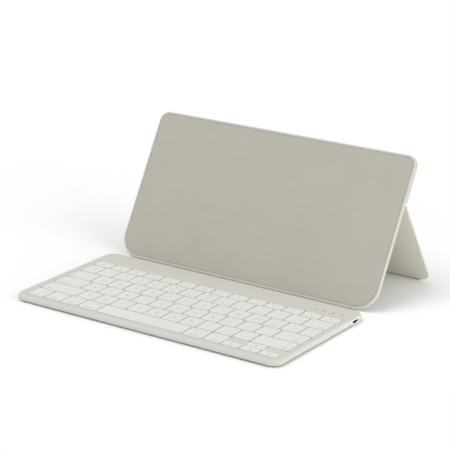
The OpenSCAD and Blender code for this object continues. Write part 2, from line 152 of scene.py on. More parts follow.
def pick_edges(piece: Piece, test: EdgeTest) -> None:
    """Selects the edges that pass a test.

    Args:
        piece: The piece.
        test: Takes an edge's middle in millimetres and its direction.
    """
    mesh = piece.data
    unpick(mesh)
    for edge in mesh.edges:
        a, b = (mesh.vertices[i].co for i in edge.vertices)
        if test((a + b) / (2 * MM), (b - a).normalized()):
            edge.select = True
            for i in edge.vertices:
                mesh.vertices[i].select = True


def pick_faces(piece: Piece, test: EdgeTest) -> None:
    """Selects the faces that pass a test.

    Args:
        piece: The piece.
        test: Takes a face's middle in millimetres and its normal.
    """
    unpick(piece.data)
    for face in piece.data.polygons:
        face.select = test(face.center / MM, face.normal)


class Editing:
    """Edit mode on one piece, with what was picked selected."""

    def __init__(self, piece: Piece, pick: Pick) -> None:
        """Keeps the piece to edit and what its selection is made of."""
        self.piece = piece
        self.pick = pick

    def __enter__(self) -> "Editing":
        """Enters edit mode."""
        activate(self.piece)
        bpy.context.tool_settings.mesh_select_mode = self.pick.value
        bpy.ops.object.mode_set(mode="EDIT")
        return self

    def __exit__(self, *unused: object) -> None:
        """Leaves edit mode."""
        bpy.ops.object.mode_set(mode="OBJECT")


def round_edges(
    piece: Piece, test: EdgeTest, width: float, segments: int, profile: float = 0.5
) -> None:
    """Bevels the edges that pass a test.

    Args:
        piece: The piece to shape.
        test: Takes an edge's middle in millimetres and its direction.
        width: Width of the bevel in millimetres.
        segments: Steps across the bevel.
        profile: 0.5 is round, and less is flatter.
    """
    pick_edges(piece, test)
    with Editing(piece, Pick.EDGES):
        bpy.ops.mesh.bevel(
            offset=width * MM, offset_type="OFFSET", segments=segments, profile=profile,
            affect="EDGES", clamp_overlap=False,
        )


def sink_face(
    piece: Piece, test: EdgeTest, border: float, depth: float, sloping: bool = False
) -> None:
    """Insets the faces that pass a test and moves them inwards.

    Args:
        piece: The piece to shape.
        test: Takes a face's middle in millimetres and its normal.
        border: Width left round the faces in millimetres.
        depth: How far the faces move in millimetres.
        sloping: Makes the border slope, in place of upright walls inside it.
    """
    pick_faces(piece, test)
    normal = next(f.normal.copy() for f in piece.data.polygons if f.select)
    move = tuple(-normal * depth * MM)
    with Editing(piece, Pick.FACES):
        bpy.ops.mesh.inset(thickness=border * MM, depth=0, use_even_offset=True)
        if sloping:
            bpy.ops.transform.translate(value=move)
        else:
            bpy.ops.mesh.extrude_region_move(TRANSFORM_OT_translate={"value": move})


def cut(piece: Piece, cutters: Iterable[Piece]) -> None:
    """Cuts each cutter out of a piece and removes the cutter.

    Args:
        piece: The piece to cut.
        cutters: Closed pieces, used up in their order.
    """
    for cutter in cutters:
        activate(piece)
        modifier = piece.modifiers.new("cut", "BOOLEAN")
        modifier.operation = "DIFFERENCE"
        modifier.solver = "EXACT"
        modifier.object = cutter
        bpy.ops.object.modifier_apply(modifier=modifier.name)
        bpy.data.objects.remove(cutter, do_unlink=True)


def smooth(piece: Piece, degrees: float = 32.0) -> Piece:
    """Shades a piece smooth, with edges sharper than the angle left sharp.

    Args:
        piece: The piece.
        degrees: Angle from which an edge stays sharp.

    Returns:
        The piece.
    """
    activate(piece)
    bpy.ops.object.shade_smooth_by_angle(angle=math.radians(degrees))
    return piece


def join(name: str, parts: Sequence[Piece]) -> Piece:
    """Joins several pieces into one.

    Args:
        name: Name of the joined piece.
        parts: The pieces. The first one takes in the others.

    Returns:
        The joined piece.
    """
    deselect()
    for part in parts:
        part.select_set(True)
    bpy.context.view_layer.objects.active = parts[0]
    if len(parts) > 1:
        bpy.ops.object.join()
    parts[0].name = name
    return parts[0]


def copy_to(master: Piece, place: Point) -> Piece:
    """Copies a piece, mesh and all.

    Args:
        master: The piece to copy.
        place: Where the copy goes, in millimetres.

    Returns:
        The copy.
    """
    piece = master.copy()
    piece.data = master.data.copy()
    bpy.context.collection.objects.link(piece)
    piece.location = Vector(place) * MM
    settle(piece)
    return piece


def seat(piece: Piece, place: Matrix) -> Piece:
    """Moves a piece from its own drawing frame to its place on the case.

    Args:
        piece: The piece.
        place: The drawing frame on the case.

    Returns:
        The piece.
    """
    piece.matrix_world = place
    settle(piece)
    return piece


def upright(middle: Vector, way: Vector) -> bool:
    """True for an edge along Z."""
    return abs(way.z) > ALONG


def rounded_block(
    name: str, low: Point, high: Point, front_r: float, rear_r: float, segments: int = 14
) -> Piece:
    """Adds a box with rounded upright edges.

    Args:
        name: Name of the piece.
        low: Lowest corner in millimetres.
        high: Highest corner in millimetres.
        front_r: Radius of the two corners at low y.
        rear_r: Radius of the two corners at high y.
        segments: Steps round each corner.

    Returns:
        The new piece.
    """
    piece = block(name, low, high)
    if front_r == rear_r:
        round_edges(piece, upright, front_r, segments)
    else:
        middle_y, rear = (low[1] + high[1]) / 2, high[1] - NEAR
        round_edges(piece, lambda m, w: upright(m, w) and m.y < middle_y, front_r, segments)
        round_edges(piece, lambda m, w: upright(m, w) and m.y > rear, rear_r, segments)
    with Editing(piece, Pick.POINTS):
        bpy.ops.mesh.select_all(action="SELECT")
        bpy.ops.mesh.remove_doubles(threshold=FACET * MM)
    return piece


def rim(height: float) -> EdgeTest:
    """Makes a test for the edges that lie flat at a height in millimetres."""
    return lambda m, w: abs(m.z - height) < NEAR and abs(w.z) < NEAR


def faces_up(height: float) -> EdgeTest:
    """Makes a test for the faces that look up at a height in millimetres."""
    return lambda m, n: abs(m.z - height) < 2 * NEAR and n.z > ALONG


def faces_out(middle: Vector, normal: Vector) -> bool:
    """True for a face that looks along X."""
    return normal.x > ALONG


# ---------------------------------------------------------------- materials


class Signal:
    """A number that a node gives, with arithmetic that adds Math nodes."""

    def __init__(self, paint: "Paint", socket: Socket) -> None:
        """Keeps the material it belongs to and the output it stands for."""
        self.paint = paint
        self.socket = socket

    def _math(self, operation: str, *values: Union["Signal", float]) -> "Signal":
        """Adds one Math node on the given values.

        Args:
            operation: The node's operation.
            values: Its inputs, in their order.

        Returns:
            The node's result.
        """
        links = {i: v.socket if isinstance(v, Signal) else v for i, v in enumerate(values)}
        node = self.paint.node("ShaderNodeMath", {"operation": operation}, links)
        return Signal(self.paint, node.outputs[0])

    def __add__(self, other: Union["Signal", float]) -> "Signal":
        """self + other"""
        return self._math("ADD", self, other)

    def __radd__(self, other: float) -> "Signal":
        """other + self"""
        return self._math("ADD", other, self)

    def __sub__(self, other: Union["Signal", float]) -> "Signal":
        """self - other"""
        return self._math("SUBTRACT", self, other)

    def __rsub__(self, other: float) -> "Signal":
        """other - self"""
        return self._math("SUBTRACT", other, self)

    def __mul__(self, other: Union["Signal", float]) -> "Signal":
        """self * other"""
        return self._math("MULTIPLY", self, other)

    def __rmul__(self, other: float) -> "Signal":
        """other * self"""
        return self._math("MULTIPLY", other, self)

    def clipped(self) -> "Signal":
        """The same number, held between 0 and 1."""
        return self._math("MINIMUM", self._math("MAXIMUM", self, 0.0), 1.0)


class Paint:
    """One material under construction: a Principled shader and what feeds it."""

    def __init__(self, name: str) -> None:
        """Starts a material.

        Args:
            name: Its name.
        """
        self.material = bpy.data.materials.new(name)
        self.material.use_nodes = True
        self.tree = self.material.node_tree
        self.shader = next(n for n in self.tree.nodes if n.type == "BSDF_PRINCIPLED")
        self.place = self.node("ShaderNodeTexCoord", {}, {}).outputs["Object"]

    def node(self, kind: str, settings: dict, inputs: dict) -> bpy.types.Node:
        """Adds a node.

        Args:
            kind: The node's type.
            settings: Its properties, such as operation, set first.
            inputs: Values or linked sockets, by input name or index.

        Returns:
            The new node.
        """
        node = self.tree.nodes.new(kind)
        for key, value in settings.items():
            setattr(node, key, value)
        for key, value in inputs.items():
            value = value.socket if isinstance(value, Signal) else value
            if isinstance(value, Socket):
                self.tree.links.new(value, node.inputs[key])
            else:
                node.inputs[key].default_value = value
        return node

    def noise(self, size: float, detail: float = 2.0, roughness: float = 0.5) -> Signal:
        """A noise from 0 to 1 whose features are about size millimetres across.

        Args:
            size: Size of the features.
            detail: How many finer layers it has.
            roughness: How strong the finer layers are.

        Returns:
            The noise.
        """
        inputs = {
            "Vector": self.place, "Scale": 1 / (size * MM), "Detail": detail,
            "Roughness": roughness,
        }
        return Signal(self, self.node("ShaderNodeTexNoise", {}, inputs).outputs[0])

    def creases(self, size: float) -> Signal:
        """Distance from the edges of cells about size millimetres across.

        Args:
            size: Size of the cells.

        Returns:
            The distance.
        """
        inputs = {"Vector": self.place, "Scale": 1 / (size * MM)}
        node = self.node("ShaderNodeTexVoronoi", {"feature": "DISTANCE_TO_EDGE"}, inputs)
        return Signal(self, node.outputs["Distance"])

    def blend(self, share: Signal, first: Colour, second: Colour) -> Socket:
        """Mixes two colours by a share from 0 to 1 and gives the socket.

        Args:
            share: Share of the second colour.
            first: The colour at 0.
            second: The colour at 1.

        Returns:
            The mixed colour.
        """
        node = self.node(
            "ShaderNodeMix", {"data_type": "RGBA"},
            {0: share, 6: (*first, 1.0), 7: (*second, 1.0)},
        )
        return node.outputs[2]

    def tint(self, share: Signal, colour: Colour, dark: float, light: float) -> None:
        """Feeds the base colour.

        Args:
            share: Says where the colour is dark, at 0, and light, at 1.
            colour: The colour between the two.
            dark: Factor on the colour where it is dark.
            light: Factor on the colour where it is light.
        """
        self.feed("Base Color", self.blend(share, shade(colour, dark), shade(colour, light)))

    def relief(self, height: Signal, depth: float) -> None:
        """Feeds the normal from a height that spans depth millimetres.

        Args:
            height: The height, from 0 to 1.
            depth: What it spans.
        """
        node = self.node(
            "ShaderNodeBump", {}, {"Height": height, "Distance": depth * MM, "Strength": 1.0}
        )
        self.feed("Normal", node.outputs[0])

    def feed(self, name: str, value: Union[Signal, Socket, float, tuple]) -> None:
        """Sets or links one socket of the shader.

        Args:
            name: Name of the socket.
            value: A value, or an output to link.
        """
        socket = value.socket if isinstance(value, Signal) else value
        if isinstance(socket, Socket):
            self.tree.links.new(socket, self.shader.inputs[name])
        else:
            self.shader.inputs[name].default_value = socket


def linear(red: int, green: int, blue: int) -> Colour:
    """Turns a display colour from 0 to 255 into the linear colour that shaders take.

    Args:
        red: Red.
        green: Green.
        blue: Blue.

    Returns:
        The linear colour.
    """
    def one(value: int) -> float:
        """One channel."""
        v = value / 255
        return v / 12.92 if v <= 0.04045 else ((v + 0.055) / 1.055) ** 2.4
    return one(red), one(green), one(blue)


def shade(colour: Colour, factor: float) -> Colour:
    """The same colour, brighter or darker by a factor."""
    return tuple(min(1.0, c * factor) for c in colour)


@dataclass(frozen=True)
class Finish:
    """What a piece is made of and how it looks."""

    name: str
    colour: Colour

    def make(self) -> bpy.types.Material:
        """Builds the material."""
        paint = Paint(self.name)
        self.apply(paint)
        return paint.material

    def apply(self, paint: Paint) -> None:
        """Feeds the shader. Each finish has its own way."""
        raise NotImplementedError


@dataclass(frozen=True)
class Moulded(Finish):
    """Matte moulded plastic with a fine spark-eroded grain."""

    roughness: float = 0.55
    grain: float = 0.22
    depth: float = 0.012
    mottle: float = 0.018
    coat: float = 0.0

    def apply(self, paint: Paint) -> None:
        """Feeds the shader."""
        cloud = paint.noise(14.0, 3.0)
        fine = paint.noise(self.grain, 3.0, 0.6)
        share = (cloud * 0.7 + fine * 0.3).clipped()
        paint.tint(share, self.colour, 1 - self.mottle, 1 + self.mottle)
        paint.feed("Roughness", (cloud * 0.06 + fine * 0.1 + (self.roughness - 0.08)).clipped())
        paint.feed("Coat Weight", self.coat)
        paint.feed("Coat Roughness", 0.12)
        paint.relief(fine, self.depth)


@dataclass(frozen=True)
class PebbledSkin(Finish):
    """Synthetic leather: small pebbles with fine creases between them, the creases darkened by painted
    shade.
    """

    pebble: float = 0.75
    depth: float = 0.035
    roughness: float = 0.6

    def apply(self, paint: Paint) -> None:
        """Feeds the shader."""
        crease = paint.creases(self.pebble)
        tone = paint.noise(22.0, 3.0)
        fine = paint.noise(self.pebble * 0.3, 2.0)
        crown = (crease * 3.2).clipped()
        # Painted shade: the colour is darkest in the creases between the pebbles and lighter on their
        # crowns.
        share = (crown * 0.45 + tone * 0.4 + fine * 0.15).clipped()
        paint.tint(share, self.colour, 0.94, 1.025)
        paint.feed("Roughness", (self.roughness + 0.1 - crown * 0.12 + fine * 0.05).clipped())
        paint.relief(crown + fine * 0.3, self.depth)


@dataclass(frozen=True)
class Microfibre(Finish):
    """Short-napped microfibre: fine fibres, brushed patches and a soft sheen."""

    fibre: float = 0.35
    depth: float = 0.05
    sheen: float = 0.35

    def apply(self, paint: Paint) -> None:
        """Feeds the shader."""
        brushed = paint.noise(30.0, 4.0, 0.55)
        patch = paint.noise(6.0, 3.0, 0.6)
        fibre = paint.noise(self.fibre, 4.0, 0.7)
        share = (brushed * 0.45 + patch * 0.2 + fibre * 0.35).clipped()
        paint.tint(share, self.colour, 0.88, 1.1)
        paint.feed("Roughness", (0.86 + fibre * 0.12).clipped())
        paint.feed("Sheen Weight", self.sheen)
        paint.feed("Sheen Roughness", 0.45)
        paint.relief(fibre + patch * 0.4, self.depth)


@dataclass(frozen=True)
class Rubber(Finish):
    """Matte rubber with faint specks."""

    roughness: float = 0.78

    def apply(self, paint: Paint) -> None:
        """Feeds the shader."""
        speck = paint.noise(0.5, 3.0, 0.6)
        dust = paint.noise(8.0, 3.0)
        share = (speck * 0.4 + dust * 0.6).clipped()
        paint.tint(share, self.colour, 0.93, 1.06)
        paint.feed("Roughness", (self.roughness + dust * 0.12 - 0.06).clipped())
        paint.relief(speck, 0.03)


@dataclass(frozen=True)
class Metal(Finish):
    """Drawn or plated metal with a directional grain."""

    roughness: float = 0.32

    def apply(self, paint: Paint) -> None:
        """Feeds the shader."""
        stretch = paint.node(
            "ShaderNodeMapping", {}, {"Vector": paint.place, "Scale": (0.08, 1.0, 1.0)}
        ).outputs[0]
        grain = Signal(paint, paint.node(
            "ShaderNodeTexNoise", {}, {"Vector": stretch, "Scale": 1 / (0.25 * MM), "Detail": 3.0}
        ).outputs[0])
        paint.tint(grain, self.colour, 0.9, 1.08)
        paint.feed("Metallic", 1.0)
        paint.feed("Roughness", (self.roughness - 0.08 + grain * 0.16).clipped())
        paint.relief(grain, 0.006)


@dataclass(frozen=True)
class Print(Finish):
    """Ink of the key legends, a little uneven where it is thin."""

    def apply(self, paint: Paint) -> None:
        """Feeds the shader."""
        wear = paint.noise(0.4, 2.0)
        paint.tint(wear, self.colour, 0.92, 1.1)
        paint.feed("Roughness", (0.5 + wear * 0.15).clipped())


SHELL = Moulded("keyboard_shell", linear(206, 204, 196), roughness=0.5)
BASE = Moulded("keyboard_base", linear(196, 194, 184), roughness=0.6)
WEB = Moulded("key_web", linear(210, 208, 200), roughness=0.65)
CAPS = Moulded("key_caps", linear(225, 225, 221), roughness=0.48, mottle=0.008)
TRIM = Moulded("port_trim", linear(221, 220, 214), roughness=0.22, depth=0.002, coat=0.6)
LINER = Moulded("port_liner", linear(16, 16, 17), roughness=0.5)
LENS = Moulded("light_lens", linear(84, 82, 76), roughness=0.25, depth=0.002, coat=0.5)
EDGE = Moulded("plate_edge", linear(201, 199, 190), roughness=0.55)
COVER = PebbledSkin("cover_skin", linear(203, 201, 192))
LINING = Microfibre("lining_fabric", linear(180, 177, 167))
INNER = Microfibre("inner_skin", linear(222, 219, 206), fibre=0.5, depth=0.03, sheen=0.15)
FOOT = Rubber("foot_rubber", linear(168, 166, 158))
BEAD = Rubber("bead_rubber", linear(172, 170, 161))
STEEL = Metal("hinge_steel", (0.55, 0.56, 0.57))
SHINY = Metal("connector_steel", (0.6, 0.61, 0.62), roughness=0.25)
PALE_INK = Print("legend_ink", linear(150, 150, 148))
DARK_INK = Print("legend_ink_dark", linear(92, 92, 92))

# The finish of every node that keeps its own shape, by the record's material slot
NODE_FINISHES: dict[str, Finish] = {
    "key_web": WEB,
    "support_metal": Metal("support_metal", (0.6, 0.6, 0.61)),
    "membrane_film": Moulded("membrane_film", linear(226, 228, 228), roughness=0.3),
    "dome_silicone": Rubber("dome_silicone", linear(232, 232, 228), roughness=0.5),
    "link_plastic": Moulded("link_plastic", linear(220, 220, 214)),
    "circuit_board": Moulded("circuit_board", linear(28, 84, 52), roughness=0.35, coat=0.3),
    "battery_wrap": Metal("battery_wrap", (0.2, 0.2, 0.21), roughness=0.45),
    "light_lens": LENS,
    "magnet_steel": Metal("magnet_steel", (0.5, 0.5, 0.52)),
    "screw_steel": Metal("screw_steel", (0.42, 0.43, 0.45)),
    "core_board": Moulded("core_board", linear(96, 96, 92), roughness=0.7),
    "hinge_steel": STEEL,
}


class Wardrobe:
    """Makes each finish once and dresses pieces in it."""

    def __init__(self) -> None:
        """Starts with nothing made."""
        self.made: dict[str, bpy.types.Material] = {}

    def get(self, finish: Finish) -> bpy.types.Material:
        """The material of a finish.

        Args:
            finish: The finish.

        Returns:
            Its material, made the first time it is asked for.
        """
        if finish.name not in self.made:
            self.made[finish.name] = finish.make()
        return self.made[finish.name]

    def dress(self, piece: Piece, finish: Finish) -> None:
        """Gives a piece one finish all over."""
        piece.data.materials.clear()
        piece.data.materials.append(self.get(finish))

    def dress_nodes(self) -> None:
        """Gives every node that keeps its own shape the finish of its slot."""
        for part in frame["record"]["subparts"]:
            finish = NODE_FINISHES.get(part["material_slot"])
            node = frame["nodes"][part["node"]]
            if finish and node.material_slots:
                for spot in node.material_slots:
                    spot.material = self.get(finish)
            elif finish:
                node.data.materials.append(self.get(finish))


WARDROBE = Wardrobe()


def place_on(
    piece: Piece, body: str, slot: Optional[str], finish: Finish, *nodes: str
) -> Piece:
    """Finishes a piece: its finish, the body it rides on and the nodes it stands for.

    Args:
        piece: The piece.
        body: Name of the body that carries it.
        slot: The record's material slot, or None for a small extra piece; not used.
        finish: Its finish.
        nodes: The nodes that it replaces.

    Returns:
        The piece.
    """
    WARDROBE.dress(piece, finish)
    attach(piece, body)
    if nodes:
        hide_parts(*nodes)
    LOG.info("%s: %d faces, on %s", piece.name, len(piece.data.polygons), body)
    return piece


# ---------------------------------------------------------------- keyboard


def node_box(node: str) -> tuple[Vector, Vector]:
    """The lowest and highest corners of a node in millimetres."""
    low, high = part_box(node)
    return Vector(low) / MM, Vector(high) / MM


@dataclass
class KeyboardBody:
    """The keyboard's shell, base, feet and charging port."""

    corner_r: float = 10.0
    side_roll: float = 2.2
    front_roll: float = 3.0
    rear_roll: float = 1.2
    lower_roll: float = 0.8
    base_lip: float = 1.0
    base_roll: float = 0.35
    wall: float = 2.6
    skin: float = 1.2
    bay_gap: float = 1.5
    bay_front_r: float = 3.0
    bay_rear_r: float = 8.0
    web_fit: float = 0.05
    web_t: float = 0.7
    well_r: float = 2.5
    light_count: int = 4
    light_w: float = 1.0
    light_play: float = 0.05
    light_depth: float = 2.0
    pad_half_w: float = 13.0
    pad_half_d: float = 3.5
    pad_play: float = 0.15
    pad_seat: float = 0.3
    pad_border: float = 1.1
    pad_hollow: float = 0.2
    slot_w: float = 8.6
    slot_h: float = 2.8
    bezel_roll: float = 0.4
    dish_border: float = 1.0
    dish_depth: float = 0.8
    can_wall: float = 0.3
    can_lip: float = 0.28
    can_end: float = 0.4
    liner_play: float = 0.02
    liner_lip: float = 0.25
    liner_start: float = 0.5
    liner_back: float = 1.2
    liner_end: float = 0.7
    tongue_half_w: float = 3.3
    tongue_half_t: float = 0.35
    tongue_start: float = 0.6
    tongue_back: float = 2.2
    tongue_edge: float = 0.2

    def build(self) -> None:
        """Builds the whole body."""
        self.low, self.high = node_box("top_case")
        self.bezel_low, self.bezel_high = node_box("port_bezel")
        self.shell()
        self.base()
        self.feet()
        self.port()
        self.socket()

    def roll_weight(self, nx: float, ny: float) -> float:
        """Width of the rolled edge where it faces a way, as a share of the front roll."""
        end = self.front_roll if ny < 0 else self.rear_roll
        return (nx * nx * self.side_roll + ny * ny * end) / self.front_roll

    def roll_top(self, piece: Piece) -> None:
        """Rolls the top edge, wide along the sides and narrow at the rear.

        Args:
            piece: The shell, before anything is cut out of it.
        """
        mesh = piece.data
        weights = mesh.attributes.new("bevel_weight_edge", "FLOAT", "EDGE")
        test = rim(self.high.z)
        for edge in mesh.edges:
            a, b = (mesh.vertices[i].co for i in edge.vertices)
            way = (b - a).normalized()
            middle = (a + b) / (2 * MM)
            if test(middle, way):
                rear = 1 if middle.y > (self.low.y + self.high.y) / 2 else -1
                weights.data[edge.index].value = self.roll_weight(way.y, rear * abs(way.x))
        activate(piece)
        modifier = piece.modifiers.new("roll", "BEVEL")
        modifier.limit_method = "WEIGHT"
        modifier.width = self.front_roll * MM
        modifier.segments = 8
        modifier.profile = 0.5
        modifier.use_clamp_overlap = False
        bpy.ops.object.modifier_apply(modifier=modifier.name)

    def well_cutter(self, margin: float, top: float) -> Piece:
        """Makes a cutter for the key well, or for the seat of the plates under it.

        Args:
            margin: How far it is wider than the well on each side.
            top: Height of its top.

        Returns:
            The cutter.
        """
        low, high = node_box("switch_membrane")
        radius = self.well_r + margin
        return rounded_block(
            "well", (low.x - margin, low.y - margin, 0),
            (high.x + margin, high.y + margin, top), radius, radius, 6,
        )

    def stadium(self, name: str, width: float, height: float, near: float, far: float) -> Piece:
        """Adds a block with round ends that reaches out of the right side, level with the port.

        Args:
            name: Name of the piece.
            width: Size along Y.
            height: Size along Z.
            near: Where it begins along X.
            far: Where it ends along X.

        Returns:
            The new piece.
        """
        _, y, z = (self.bezel_low + self.bezel_high) / 2
        radius = height / 2 - NEAR
        piece = rounded_block(
            name, (-width / 2, -height / 2, near), (width / 2, height / 2, far), radius, radius, 10
        )
        turn = Matrix(((0, 0, 1, 0), (1, 0, 0, y * MM), (0, 1, 0, z * MM), (0, 0, 0, 1)))
        return seat(piece, turn)

    def port_hole(self) -> Piece:
        """A cutter with the outline of the bezel."""
        low, high = self.bezel_low, self.bezel_high
        return self.stadium("port_hole", high.y - low.y, high.z - low.z, low.x, high.x + REACH)

    def light_slots(self) -> list[Piece]:
        """Cutters for the light pipes.

        Returns:
            One cutter for each pipe.
        """
        low, high = node_box("indicator_lenses")
        play = self.light_play
        pitch = (high.x - low.x - self.light_w + 2 * play) / (self.light_count - 1)
        starts = [low.x - play + i * pitch for i in range(self.light_count)]
        return [
            block("slot", (x, low.y - play, self.high.z - self.light_depth),
                  (x + self.light_w, high.y + play, self.high.z + REACH))
            for x in starts
        ]

    def shell(self) -> None:
        """The moulded top case with its well, port hole and light slots."""
        piece = rounded_block(
            "top_case_shell", self.low, self.high, self.corner_r, self.corner_r, 18
        )
        self.roll_top(piece)
        round_edges(piece, rim(self.low.z), self.lower_roll, 4)
        web_low, web_high = node_box("key_web")
        seat_lap = web_high.x - node_box("switch_membrane")[1].x + self.web_fit
        cavity = rounded_block(
            "cavity", (self.low.x + self.wall, web_high.y + self.bay_gap, 0),
            (self.high.x - self.wall, self.high.y - self.wall, self.high.z - self.skin),
            self.bay_front_r, self.bay_rear_r, 8,
        )
        slots = self.light_slots()
        cut(piece, [
            self.well_cutter(0.0, self.high.z + REACH),
            self.well_cutter(seat_lap, web_low.z + self.web_t + self.web_fit),
            cavity, self.port_hole(), *slots,
        ])
        smooth(piece, 28)
        place_on(piece, "keyboard", "keyboard_shell", SHELL, "top_case")

    def base(self) -> None:
        """The base plate with its rolled lower edge and the recesses of the feet."""
        low, high = node_box("base_plate")
        radius = self.corner_r - self.base_lip
        piece = rounded_block("base_panel", low, high, radius, radius, 18)
        round_edges(piece, rim(low.z), self.base_roll, 3)
        pads = [
            self.pad("recess", corner, self.pad_play, low.z - REACH, low.z + self.pad_seat)
            for corner in self.corners()
        ]
        cut(piece, [*pads, self.port_hole()])
        smooth(piece, 30)
        place_on(piece, "keyboard", "keyboard_base", BASE, "base_plate")

    def corners(self) -> list[tuple[float, float]]:
        """The middles of the four feet."""
        low, high = node_box("rubber_feet")
        return [
            (x, y) for x in (low.x + self.pad_half_w, high.x - self.pad_half_w)
            for y in (low.y + self.pad_half_d, high.y - self.pad_half_d)
        ]

    def pad(
        self, name: str, middle: tuple[float, float], play: float, bottom: float, top: float
    ) -> Piece:
        """Adds a block with round ends for one foot, its hollow or its recess.

        Args:
            name: Name of the piece.
            middle: Its middle, x and y.
            play: How far it is wider than the foot on each side.
            bottom: Height of its bottom.
            top: Height of its top.

        Returns:
            The new piece.
        """
        (x, y), half_w, half_d = middle, self.pad_half_w + play, self.pad_half_d + play
        radius = half_d - NEAR
        return rounded_block(
            name, (x - half_w, y - half_d, bottom), (x + half_w, y + half_d, top), radius, radius, 8
        )

    def feet(self) -> None:
        """Four rubber pads with rolled rims and a shallow hollow."""
        low, high = node_box("rubber_feet")
        pads = []
        for corner in self.corners():
            pad = self.pad("pad", corner, 0.0, low.z, high.z)
            round_edges(pad, rim(low.z), self.base_roll, 3)
            hollow_top = low.z + self.pad_hollow
            cut(pad, [self.pad("hollow", corner, -self.pad_border, low.z - REACH, hollow_top)])
            pads.append(pad)
        piece = smooth(join("foot_pads", pads), 40)
        place_on(piece, "keyboard", "foot_rubber", FOOT, "rubber_feet")

    def port(self) -> None:
        """The bezel with its dished face."""
        low, high = self.bezel_low, self.bezel_high
        width, height, start, end = high.y - low.y, high.z - low.z, low.x, high.x
        bezel = self.stadium("port_ring", width, height, start, end)
        round_edges(
            bezel, lambda m, w: abs(m.x - end) < NEAR and abs(w.x) < NEAR, self.bezel_roll, 4
        )
        border = 2 * self.dish_border
        dish_start = end - self.dish_depth
        dish = self.stadium("dish", width - border, height - border, dish_start, end + REACH)
        mouth = self.stadium("mouth", self.slot_w, self.slot_h, start - REACH, end + REACH)
        cut(bezel, [dish, mouth])
        smooth(bezel, 35)
        place_on(bezel, "keyboard", "port_trim", TRIM, "port_bezel")

    def socket(self) -> None:
        """The metal can behind the bezel, with its dark liner and its tongue."""
        _, y, z = (self.bezel_low + self.bezel_high) / 2
        end = self.bezel_high.x
        can_low, can_high = node_box("usb_connector")
        start, wall, play = can_low.x, 2 * self.can_wall, 2 * self.liner_play
        can = self.stadium("socket_can", self.slot_w + wall, self.slot_h + wall, start, can_high.x)
        sink_face(can, faces_out, self.can_lip, can_high.x - start - self.can_end)
        smooth(can, 35)
        place_on(can, "keyboard", "connector_steel", SHINY, "usb_connector")

        liner_start, liner_end = start + self.liner_start, end - self.liner_back
        liner = self.stadium(
            "socket_liner", self.slot_w - play, self.slot_h - play, liner_start, liner_end
        )
        sink_face(liner, faces_out, self.liner_lip, liner_end - liner_start - self.liner_end)
        half_w, half_t, tongue_start = self.tongue_half_w, self.tongue_half_t, start + self.tongue_start
        tongue = block(
            "tongue", (tongue_start, y - half_w, z - half_t),
            (end - self.tongue_back, y + half_w, z + half_t),
        )
        round_edges(
            tongue, lambda m, w: abs(w.y) > ALONG and m.x > tongue_start + REACH,
            self.tongue_edge, 3,
        )
        piece = smooth(join("socket_liner", [liner, tongue]), 35)
        place_on(piece, "keyboard", None, LINER)


class Side(Enum):
    """Where a word stands on its key."""

    MIDDLE = "CENTER"
    LEFT = "LEFT"
    RIGHT = "RIGHT"


@dataclass(frozen=True)
class Mark:
    """One printed mark: a word at a place on its key, as shares of the key's half size."""

    text: str
    x: float = 0.0
    y: float = 0.0
    size: float = 3.0
    side: Side = Side.MIDDLE


class Form(Enum):
    """What a stroke of a symbol looks like."""

    BAR = "bar"
    RING = "ring"
    TRIANGLE = "triangle"


@dataclass(frozen=True)
class Stroke:
    """One stroke of a small symbol, in millimetres from the middle of its key."""

    form: Form
    x: float = 0.0
    y: float = 0.0
    size: float = 1.0
    width: float = 0.35
    turn: float = 0.0


@dataclass(frozen=True)
class Key:
    """One key: what is printed on it."""

    marks: tuple[Mark, ...] = ()
    strokes: tuple[Stroke, ...] = ()
    dark: bool = False


def letter(text: str) -> Key:
    """A key with one letter in its middle."""
    return Key((Mark(text, size=4.0),))


def pair(upper: str, lower: str) -> Key:
    """A key with two marks, one above the other."""
    return Key((Mark(upper, y=0.42, size=3.2), Mark(lower, y=-0.42, size=3.2)))


def word(text: str, side: Side, size: float = 2.6) -> Key:
    """A wide key with a small word in its lower corner."""
    at = {Side.LEFT: -0.8, Side.RIGHT: 0.8}[side]
    return Key((Mark(text, x=at, y=-0.6, size=size, side=side),))


def bottom_key(text: str, symbol: tuple[Stroke, ...], mirrored: bool) -> Key:
    """A bottom-row key with a word and a symbol in its upper corner.

    Args:
        text: The word.
        symbol: The strokes of the symbol.
        mirrored: Puts the symbol in the left corner, in place of the right one.

    Returns:
        The key.
    """
    across = -4.6 if mirrored else 4.6
    moved = tuple(replace(stroke, x=across + stroke.x, y=4.6 + stroke.y) for stroke in symbol)
    return Key((Mark(text, y=-0.6, size=2.4),), moved)


def arrow(turn: float) -> Key:
    """An arrow key with one small triangle."""
    return Key((), (Stroke(Form.TRIANGLE, size=1.05, turn=turn),), dark=True)


def rays(count: int, reach: float) -> tuple[Stroke, ...]:
    """Short rays round a middle.

    Args:
        count: How many.
        reach: Distance from the middle.

    Returns:
        The strokes.
    """
    return tuple(
        Stroke(Form.BAR, reach * math.cos(a), reach * math.sin(a), 0.5, 0.22, math.degrees(a))
        for a in (2 * math.pi * i / count for i in range(count))
    )


CHEVRON = (Stroke(Form.BAR, -0.35, 0, 1.1, 0.25, 50), Stroke(Form.BAR, 0.35, 0, 1.1, 0.25, -50))
STEP = (Stroke(Form.BAR, -0.5, 0.5, 0.9, 0.25), Stroke(Form.BAR, 0.2, 0, 1.4, 0.25, -50),
        Stroke(Form.BAR, 0.8, -0.5, 0.8, 0.25))
LOOP = (Stroke(Form.RING, 0, 0, 0.8, 0.25), Stroke(Form.BAR, 0, 0, 2.2, 0.25))
GLOBE = (Stroke(Form.RING, 0, 0, 0.95, 0.22), Stroke(Form.BAR, 0, 0, 1.8, 0.2),
         Stroke(Form.BAR, 0, 0, 1.8, 0.2, 90))
SPEAKER = (Stroke(Form.BAR, -0.9, 0, 0.7, 0.7), Stroke(Form.TRIANGLE, -0.35, 0, 0.75, 0, 180))

